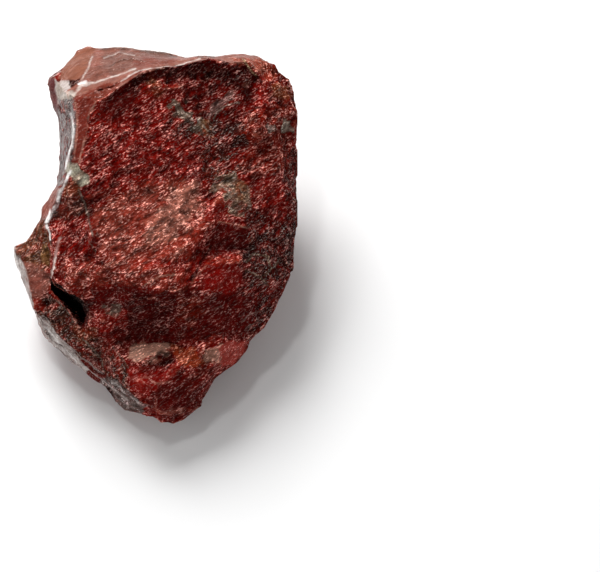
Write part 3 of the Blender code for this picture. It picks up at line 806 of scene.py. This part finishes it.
class Skin:
    """What is painted on the points: colour, grains, cleanness of the break, and cuts."""

    def __init__(self, places, normal):
        lean = to_leaning(places)
        self.grain = along_grain(places)
        self.out = leaning_out(normal)
        self.front = ramp(self.out, -0.30, -0.05)
        self.wander = [rough(places / 1.3, 3, 500 + 20 * k) for k in range(4)]
        self.grit = rough(self.grain / 0.8, 2, 640)
        self.flat = lean[:, :2] + WANDER * np.stack([self.wander[0], self.wander[1]], axis=1)
        self.colour = np.zeros((len(places), 3))
        self.speckle = np.full(len(places), PLAIN_SPECKLE)
        self.clean = np.zeros(len(places))
        self.cut = np.zeros(len(places))

    def lay(self, colour, weight):
        """Covers the points with a colour, and with all that goes with it, by a weight from 0 to 1."""
        weight = np.clip(weight, 0, 1)
        self.colour += (np.array(colour) - self.colour) * weight[:, None]
        self.speckle += (SPECKLE.get(colour, PLAIN_SPECKLE) - self.speckle) * weight
        self.clean += (CLEAN.get(colour, 0.0) - self.clean) * weight
        self.cut = np.maximum(self.cut, CUT.get(colour, 0.0) * weight)

    def patch(self, number, colour, edge, ragged, strength, corners):
        """Fills a polygon, with a soft and ragged edge, on the points that face the front."""
        low, high = np.min(corners, axis=0) - 3, np.max(corners, axis=0) + 3
        near = ((self.flat > low) & (self.flat < high)).all(axis=1) & (self.front > 0)
        depth = np.full(len(self.flat), -9.0)
        depth[near] = inside_depth(self.flat[near], corners)
        depth += ragged * 1.2 * self.wander[number % 4]
        broken = 1 - min(1, 1.4 * SPECKLE.get(colour, 0.0)) * np.clip(0.32 - 1.1 * self.grit, 0, 0.85)
        self.lay(colour, strength * broken * self.front * ramp(depth, -edge / 2, edge / 2) * near)

    def stroke(self, number, colour, width, strength, points):
        """Draws a thin broken line on the points that face the front."""
        low, high = np.min(points, axis=0) - 2, np.max(points, axis=0) + 2
        near = ((self.flat > low) & (self.flat < high)).all(axis=1) & (self.front > 0)
        distance = np.full(len(self.flat), 9.0)
        for a, b in zip(points, points[1:]):
            distance[near] = np.minimum(distance[near], line_distance(self.flat[near], a, b))
        broken = np.clip(0.85 + 0.8 * self.wander[(number + 2) % 4], 0, 1)
        self.lay(colour, strength * self.front * broken * (1 - ramp(distance, 0.25 * width, 0.75 * width)))

    def ground(self, places):
        """The stone's own mottling, all round, and the crusts that its unseen sides have."""
        slow, quick = rough(places / 6.5, 3, 71), rough(self.grain / 2.2, 3, 83)
        self.lay(MAROON, np.ones(len(places)))
        self.lay(DARK_RED, 0.8 * ramp(slow, 0.0, 0.5))
        self.lay(RED, 0.6 * ramp(-slow, 0.05, 0.5))
        self.lay(BROWN_RED, 0.55 * ramp(quick, 0.15, 0.6))
        self.lay(BLACK_RED, 0.6 * ramp(-quick, 0.25, 0.6))
        behind = 1 - self.front
        self.lay(DARK_RED, 0.5 * behind)
        self.clean = BACK_CLEAN * behind
        wide, other = rough(places / 13.0, 4, 131), rough(places / 10.0, 4, 157)
        self.lay(REAR_PINK, 0.75 * behind * ramp(wide, 0.08, 0.3))
        self.lay(MIXED_BROWN, 0.7 * behind * ramp(-other, 0.22, 0.42))
        self.lay(REAR_OCHRE, 0.6 * behind * ramp(other, 0.25, 0.45))
        self.lay(VEIN_PALE, 0.4 * behind * (1 - ramp(np.abs(wide + 0.4 * other - 0.05), 0.003, 0.02)))


def along_grain(places):
    """The places with their lengths along the grain shortened, so that what is drawn there is long."""
    grain = GRAIN / np.linalg.norm(GRAIN)
    return places + (GRAIN_STRETCH - 1) * (places @ grain)[:, None] * grain


def relief(skin):
    """How far each point moves out, in millimetres: breaks of three sizes, steps and ripples, less cuts."""
    grain, coarse = skin.grain, 1 - FINE_LOSS * skin.clean
    height = sum(
        tall * (1 - lost * skin.clean) * breaks(grain / size, seed, blend)
        for size, tall, seed, blend, lost in BREAKS
    )
    step = STEP_COUNT * rough(grain / STEP_SIZE, 2, 211)
    height += STEP_HEIGHT * coarse * (np.floor(step) + ramp(step - np.floor(step), 0.7, 0.9))
    height += coarse * sum(tall * (1 - np.abs(swell(grain / size, seed))) for size, tall, seed in RIPPLES)
    edge_on = 1 - ramp(np.abs(skin.out), 0.0, 0.45)
    return height * (1 - EDGE_ON_LOSS * edge_on) - skin.cut


def painted_skin(places, normal):
    """The skin with its mottling, its patches and its thin marks."""
    skin = Skin(places, normal)
    skin.ground(places)
    for number, (colour, edge, ragged, strength, corners) in enumerate(AREAS):
        skin.patch(number, colour, edge, ragged, strength, on_stone(corners))
    for number, (colour, width, strength, points) in enumerate(STROKES):
        skin.stroke(number, colour, width, strength, on_stone(points))
    return skin


def raised(places, normal, skin):
    """The points with their relief. It fades towards the floor, and nothing leaves the solid's box."""
    fade = ramp(places[:, 2], 0.0, FADE_AT_FLOOR)
    moved = places + normal * (relief(skin) * fade)[:, None]
    under = places[:, 2] < FLOOR_LEVEL
    moved[under, 2] = UNDERSIDE_ROUGHNESS * np.maximum(rough(places[under] / 3.5, 3, 307), 0)
    moved[:, 2] = np.maximum(moved[:, 2], 0)
    low, high = np.array(CAD_BOX) / MM
    return np.clip(moved, low, high)


def paint_crest_highlight_and_hollow_shade(places, faces, skin):
    """Paints a highlight that makes the crests paler and a shade that makes the hollows darker, and says
    how much of a crest each point is.
    """
    edges, _ = sides(faces)
    normal = normals(places, faces)
    proud = ((places - neighbours_mean(places, edges)) * normal).sum(axis=1)
    proud = (proud[:, None] + neighbours_mean(proud[:, None], edges))[:, 0] / 2
    crest, hollow = ramp(proud, 0.02, 0.10), ramp(-proud, 0.02, 0.12)
    # Painted highlight: the crests are paled towards light rose. Painted shade: the hollows are darkened.
    skin.colour += (np.array(ROSE_LIGHT) - skin.colour) * (CREST_PAINTED_HIGHLIGHT * crest)[:, None]
    skin.colour *= (1 - HOLLOW_PAINTED_SHADE * hollow)[:, None]
    return crest


def stone_object(places, faces, skin, crest):
    """The mesh of the skin, with what the material needs to know at each of its points."""
    data = bpy.data.meshes.new("jasper_skin")
    data.vertices.add(len(places))
    data.vertices.foreach_set("co", (places * MM).ravel())
    data.loops.add(faces.size)
    data.loops.foreach_set("vertex_index", faces.ravel())
    data.polygons.add(len(faces))
    data.polygons.foreach_set("loop_start", np.arange(0, faces.size, 3))
    data.polygons.foreach_set("loop_total", np.full(len(faces), 3))
    data.update(calc_edges=True)
    data.validate()
    tint = data.color_attributes.new("tint", "FLOAT_COLOR", "POINT")
    tint.data.foreach_set("color", np.hstack([skin.colour, np.ones((len(places), 1))]).ravel())
    for name, values in (("speckle", skin.speckle), ("clean", skin.clean), ("crest", crest)):
        data.attributes.new(name, "FLOAT", "POINT").data.foreach_set("value", values)
    data.shade_smooth()
    data.set_sharp_from_angle(angle=SHARP_ANGLE)
    stone = bpy.data.objects.new("jasper_skin", data)
    bpy.context.scene.collection.objects.link(stone)
    print("jasper_skin", len(places), "points", len(faces), "triangles")
    return stone


def make_stone(node):
    """The stone from the frame with its finer skin."""
    places, faces = cad_stone(node)
    for _ in range(SPLITTING_PASSES):
        places, faces = split_long(places, faces)
    places = wear(places, faces)
    normal = normals(places, faces)
    skin = painted_skin(places, normal)
    places = raised(places, normal, skin)
    crest = paint_crest_highlight_and_hollow_shade(places, faces, skin)
    return stone_object(places, faces, skin, crest)


class Nodes:
    """Short ways to add and join shader nodes."""

    def __init__(self, owner):
        owner.use_nodes = True
        self.tree = owner.node_tree
        self.shader = self.tree.nodes.get("Principled BSDF") or self.tree.nodes["Background"]

    def add(self, kind, inputs=None, **settings):
        node = self.tree.nodes.new(kind)
        for name, value in settings.items():
            setattr(node, name, value)
        for name, value in (inputs or {}).items():
            if isinstance(value, bpy.types.NodeSocket):
                self.tree.links.new(value, node.inputs[name])
            else:
                node.inputs[name].default_value = value
        return node

    def attribute(self, name, output="Fac"):
        return self.add("ShaderNodeAttribute", attribute_name=name).outputs[output]

    def noise(self, place, scale, detail, roughness=0.6):
        inputs = {"Vector": place, "Scale": scale, "Detail": detail, "Roughness": roughness}
        return self.add("ShaderNodeTexNoise", inputs).outputs["Fac"]

    def math(self, operation, a, b=0.0, c=0.0):
        return self.add("ShaderNodeMath", {0: a, 1: b, 2: c}, operation=operation).outputs[0]

    def vector(self, operation, a, b, output="Vector"):
        return self.add("ShaderNodeVectorMath", {0: a, 1: b}, operation=operation).outputs[output]

    def remap(self, value, low, high, to_low=0.0, to_high=1.0):
        inputs = {"Value": value, "From Min": low, "From Max": high, "To Min": to_low, "To Max": to_high}
        return self.add("ShaderNodeMapRange", inputs).outputs["Result"]

    def flakes(self, place, scale):
        """Small planes, each tilted its own way, as the height over their slope's own length."""
        cell = self.add("ShaderNodeTexVoronoi", {"Vector": place, "Scale": scale, "Randomness": 1.0})
        away = self.vector("SUBTRACT", place, cell.outputs["Position"])
        tilt = self.vector("SUBTRACT", cell.outputs["Color"], (0.5, 0.5, 0.5))
        return self.math("MULTIPLY", self.vector("DOT_PRODUCT", away, tilt, "Value"), scale)

    def mix(self, factor, a, b, blend="MIX"):
        node = self.add("ShaderNodeMix", data_type="RGBA", blend_type=blend)
        for socket, value in ((node.inputs[0], factor), (node.inputs[6], a), (node.inputs[7], b)):
            if isinstance(value, bpy.types.NodeSocket):
                self.tree.links.new(value, socket)
            else:
                socket.default_value = value
        return node.outputs[2]

    def times(self, a, b):
        return self.mix(1.0, a, b, "MULTIPLY")

    def product(self, first, *others):
        for other in others:
            first = self.math("MULTIPLY", first, other)
        return first

    def bump(self, strength, distance, height, normal=None):
        """The normal after a bump of so many millimetres, on top of another bump or on the surface."""
        inputs = {"Strength": strength, "Distance": distance * MM, "Height": height}
        if normal:
            inputs["Normal"] = normal
        return self.add("ShaderNodeBump", inputs).outputs["Normal"]

    def use(self, value, name):
        self.tree.links.new(value, self.shader.inputs[name])


# What the painted colour is multiplied by: in the deep between the grains, on reds and on the rest,
# on the grains, and where a clean break is mottled dark and light.
DEEP_RED = (0.84, 0.26, 0.18, 1.0)
DEEP_REST = (0.46, 0.38, 0.35, 1.0)
GRAIN_BRIGHT = (2.4, 2.4, 2.4, 1.0)
MOTTLE_DARK = (0.65, 0.60, 0.60, 1.0)
MOTTLE_LIGHT = (1.30, 1.32, 1.32, 1.0)

# The glints on red, the specks, the tint of the shine, and how much the stone bends light.
PINK_GLINT = (1.0, 0.52, 0.44, 1.0)
DARK_SPECK = (0.018, 0.010, 0.009, 1.0)
PALE_SPECK = (0.72, 0.60, 0.54, 1.0)
SHINE_TINT = (1.0, 0.70, 0.62, 1.0)
JASPER_IOR = 1.54

# How many of each fit in a metre.
GRAIN_SCALE = 3400.0
RIPPLE_SCALE = 1100.0
CLUSTER_SCALE = 420.0
SHADE_SCALE = 800.0
FLAKE_SCALE = 2400.0
DARK_SPECK_SCALE = 3000.0
FINE_SCALE = 3600.0
DUST_SCALE = 7000.0
GLOSS_SCALE = 1500.0

# Heights of the bumps in millimetres.
WRINKLE_HEIGHT = 0.32
FLAKE_HEIGHT = 0.48
FINE_HEIGHT = 0.10


class JasperLook:
    """The parts of the jasper's material that share its places and what is painted on the points."""

    def __init__(self, n):
        self.n = n
        self.place = n.add("ShaderNodeTexCoord").outputs["Object"]
        along = n.add("ShaderNodeMapping", {
            "Vector": self.place, "Rotation": GRAIN_TURN, "Scale": GRAIN_LENGTH,
        }, vector_type="TEXTURE")
        self.grained = along.outputs["Vector"]
        self.tint = n.attribute("tint", "Color")
        self.speckle, self.clean, self.crest = (n.attribute(name) for name in ("speckle", "clean", "crest"))
        self.hue = n.add("ShaderNodeSeparateColor", {"Color": self.tint}).outputs
        self.red = n.remap(n.math("DIVIDE", self.hue["Green"], self.hue["Red"]), 0.22, 0.48, 1.0, 0.0)
        self.ripple = n.math("ABSOLUTE", n.math("SUBTRACT", n.noise(self.grained, RIPPLE_SCALE, 3.0), 0.5))
        self.grain = self.glinting_grains()

    def glinting_grains(self):
        """Small grains along the crests of the ripples, in clusters, and fewer on a clean break."""
        n = self.n
        return n.product(
            n.math("POWER", n.remap(n.noise(self.grained, GRAIN_SCALE, 2.0), 0.43, 0.74), 2.2),
            n.remap(self.ripple, 0.008, 0.09, 4.4, 0.16),
            n.remap(n.noise(self.place, CLUSTER_SCALE, 3.0), 0.40, 0.64, 0.10, 1.80),
            n.math("MULTIPLY_ADD", self.crest, 1.1, 0.7),
            n.math("MULTIPLY_ADD", self.clean, -0.6, 1.0),
        )

    def colour(self):
        """The painted colour, deep between the grains and bright with painted glints on them, darkened and
        lightened by painted ripple shade, or mottled where it is clean.
        """
        n = self.n
        deep = n.times(self.tint, n.mix(self.red, DEEP_REST, DEEP_RED))
        pink = n.math("MULTIPLY", self.red, n.remap(self.hue["Red"], 0.02, 0.20, 0.10, 0.70))
        # Painted glints: the grains are brightened, and pink is added on reds.
        bright = n.mix(pink, n.times(self.tint, GRAIN_BRIGHT), PINK_GLINT, "ADD")
        # Painted light and shade of the ripples: a stretched noise darkens and lightens the coarse colour.
        shade = n.remap(n.noise(self.grained, SHADE_SCALE, 3.0), 0.38, 0.58, 0.50, 1.40)
        coarse = n.times(n.mix(self.grain, deep, bright), shade)
        mottle = n.remap(n.noise(self.grained, RIPPLE_SCALE, 5.0, 0.7), 0.3, 0.7)
        plain = n.times(self.tint, n.mix(mottle, MOTTLE_DARK, MOTTLE_LIGHT))
        return self.speckled(n.mix(self.clean, coarse, plain))

    def speckled(self, colour):
        """The colour with dark specks and a few pale ones."""
        n = self.n
        dark = n.remap(n.noise(self.place, DARK_SPECK_SCALE, 2.0), 0.50, 0.60)
        colour = n.mix(n.math("MULTIPLY", dark, self.speckle), colour, DARK_SPECK)
        pale = n.remap(n.noise(self.grained, FINE_SCALE, 2.0), 0.58, 0.68)
        pale = n.math("MULTIPLY", pale, n.math("MULTIPLY_ADD", self.speckle, 0.7, -0.05))
        return n.mix(pale, colour, PALE_SPECK)

    def roughness(self):
        n = self.n
        gloss = n.remap(n.noise(self.place, GLOSS_SCALE, 3.0), 0.3, 0.7, 0.15, 0.32)
        gloss = n.math("MULTIPLY_ADD", self.clean, 0.18, gloss)
        return n.math("MULTIPLY_ADD", self.crest, -0.06, gloss)

    def shine(self):
        """Strong on the grains, weak on clean breaks that aren't red, and none elsewhere."""
        n = self.n
        sheen = n.math("MULTIPLY", self.clean, n.math("MULTIPLY_ADD", self.red, -0.12, 0.12))
        return n.math("MAXIMUM", n.remap(self.grain, 0.20, 0.70, 0.0, 0.9), sheen)

    def normal(self):
        """Wrinkles, then small tilted flakes, then the finest grain."""
        n = self.n
        wrinkle = n.remap(self.ripple, 0.0, 0.2, 1.0, 0.0)
        normal = n.bump(n.math("MULTIPLY_ADD", self.clean, -0.9, 0.9), WRINKLE_HEIGHT, wrinkle)
        strength = n.math("MULTIPLY_ADD", self.clean, -0.75, 0.95)
        normal = n.bump(strength, FLAKE_HEIGHT, n.flakes(self.grained, FLAKE_SCALE), normal)
        dust = n.math("MULTIPLY", n.noise(self.place, DUST_SCALE, 1.0), 0.35)
        fine = n.math("ADD", n.noise(self.grained, FINE_SCALE, 2.0, 0.65), dust)
        return n.bump(strength, FINE_HEIGHT, fine, normal)


def jasper_material():
    """Waxy red jasper: painted colour broken up by grains, with a fine grained, glinting surface."""
    material = bpy.data.materials.new("red_jasper_broken")
    n = Nodes(material)
    look = JasperLook(n)
    n.use(look.colour(), "Base Color")
    n.use(look.roughness(), "Roughness")
    n.use(look.shine(), "Specular IOR Level")
    n.use(look.normal(), "Normal")
    n.shader.inputs["IOR"].default_value = JASPER_IOR
    n.shader.inputs["Specular Tint"].default_value = SHINE_TINT
    return material


# The floor, and what the lights face and from how far, all in metres.
FLOOR_REACH = 3.0
FLOOR_COLOUR = (0.93, 0.93, 0.93)
STONE_MIDDLE = (0.0, 0.0, 0.02)
LIGHT_DISTANCE = 0.60


def plain_material(name, colour, roughness):
    material = bpy.data.materials.new(name)
    n = Nodes(material)
    n.shader.inputs["Base Color"].default_value = (*colour, 1.0)
    n.shader.inputs["Roughness"].default_value = roughness
    return material


def make_floor():
    data = bpy.data.meshes.new("floor")
    corners = [(-FLOOR_REACH, -FLOOR_REACH, 0), (FLOOR_REACH, -FLOOR_REACH, 0),
               (FLOOR_REACH, FLOOR_REACH, 0), (-FLOOR_REACH, FLOOR_REACH, 0)]
    data.from_pydata(corners, [], [(0, 1, 2, 3)])
    data.materials.append(plain_material("pale_floor", FLOOR_COLOUR, 0.6))
    floor = bpy.data.objects.new("floor", data)
    bpy.context.scene.collection.objects.link(floor)


def make_light(name, direction, size, power):
    """A square soft light that faces the stone's middle."""
    light = bpy.data.lights.new(name, "AREA")
    light.energy, light.size = power, size
    direction = Vector(direction).normalized()
    lamp = bpy.data.objects.new(name, light)
    lamp.location = Vector(STONE_MIDDLE) + direction * LIGHT_DISTANCE
    lamp.rotation_euler = direction.to_track_quat("Z", "Y").to_euler()
    bpy.context.scene.collection.objects.link(lamp)


# The sky is a bright low ring on the left and behind, and dim elsewhere, so the rims there shine.
RING_LIGHT = 1.3
TOP_LIGHT = 0.14
RING_EDGE = (0.40, 0.75)
RING_SIDE = (-0.85, 0.50, 0.0)

# The view looks straight down the leaning frame. The stone stands left of its middle, as in the
# photograph.
VIEW_MIDDLE = (29.0, -10.2, -8.0)
VIEW_WIDTH = 120.0
LENS = 500.0
SENSOR = 36.0


def make_view():
    camera = bpy.data.cameras.new("camera")
    camera.lens, camera.sensor_width = LENS, SENSOR
    across, up, out = VIEW_MIDDLE
    seen = bpy.data.objects.new("camera", camera)
    seen.location = from_leaning(across, up, out + VIEW_WIDTH * LENS / SENSOR)
    seen.rotation_euler = (LEAN, 0.0, 0.0)
    bpy.context.scene.collection.objects.link(seen)
    bpy.context.scene.camera = seen
    bpy.context.scene.view_settings.view_transform = "Standard"


def make_sky():
    world = bpy.data.worlds.new("soft_ring")
    n = Nodes(world)
    way = n.add("ShaderNodeTexCoord").outputs["Generated"]
    height = n.add("ShaderNodeSeparateXYZ", {0: way}).outputs["Z"]
    ring = n.remap(height, *RING_EDGE, 1.0, 0.0)
    side = n.remap(n.vector("DOT_PRODUCT", way, RING_SIDE, "Value"), -0.5, 0.5, 0.4, 1.0)
    strength = n.math("MULTIPLY_ADD", n.math("MULTIPLY", ring, side), RING_LIGHT, TOP_LIGHT)
    n.use(strength, "Strength")
    n.shader.inputs["Color"].default_value = (1.0, 1.0, 1.0, 1.0)
    bpy.context.scene.world = world


stone = make_stone(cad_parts["jasper_stone"])
stone.data.materials.append(jasper_material())
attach(stone, "root")
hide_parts("jasper_stone")
make_floor()
make_light("key", direction=(-0.25, 0.62, 0.74), size=0.30, power=3.9)
make_light("sheen", direction=(-0.14, 0.16, 0.98), size=0.05, power=0.40)
make_sky()
make_view()
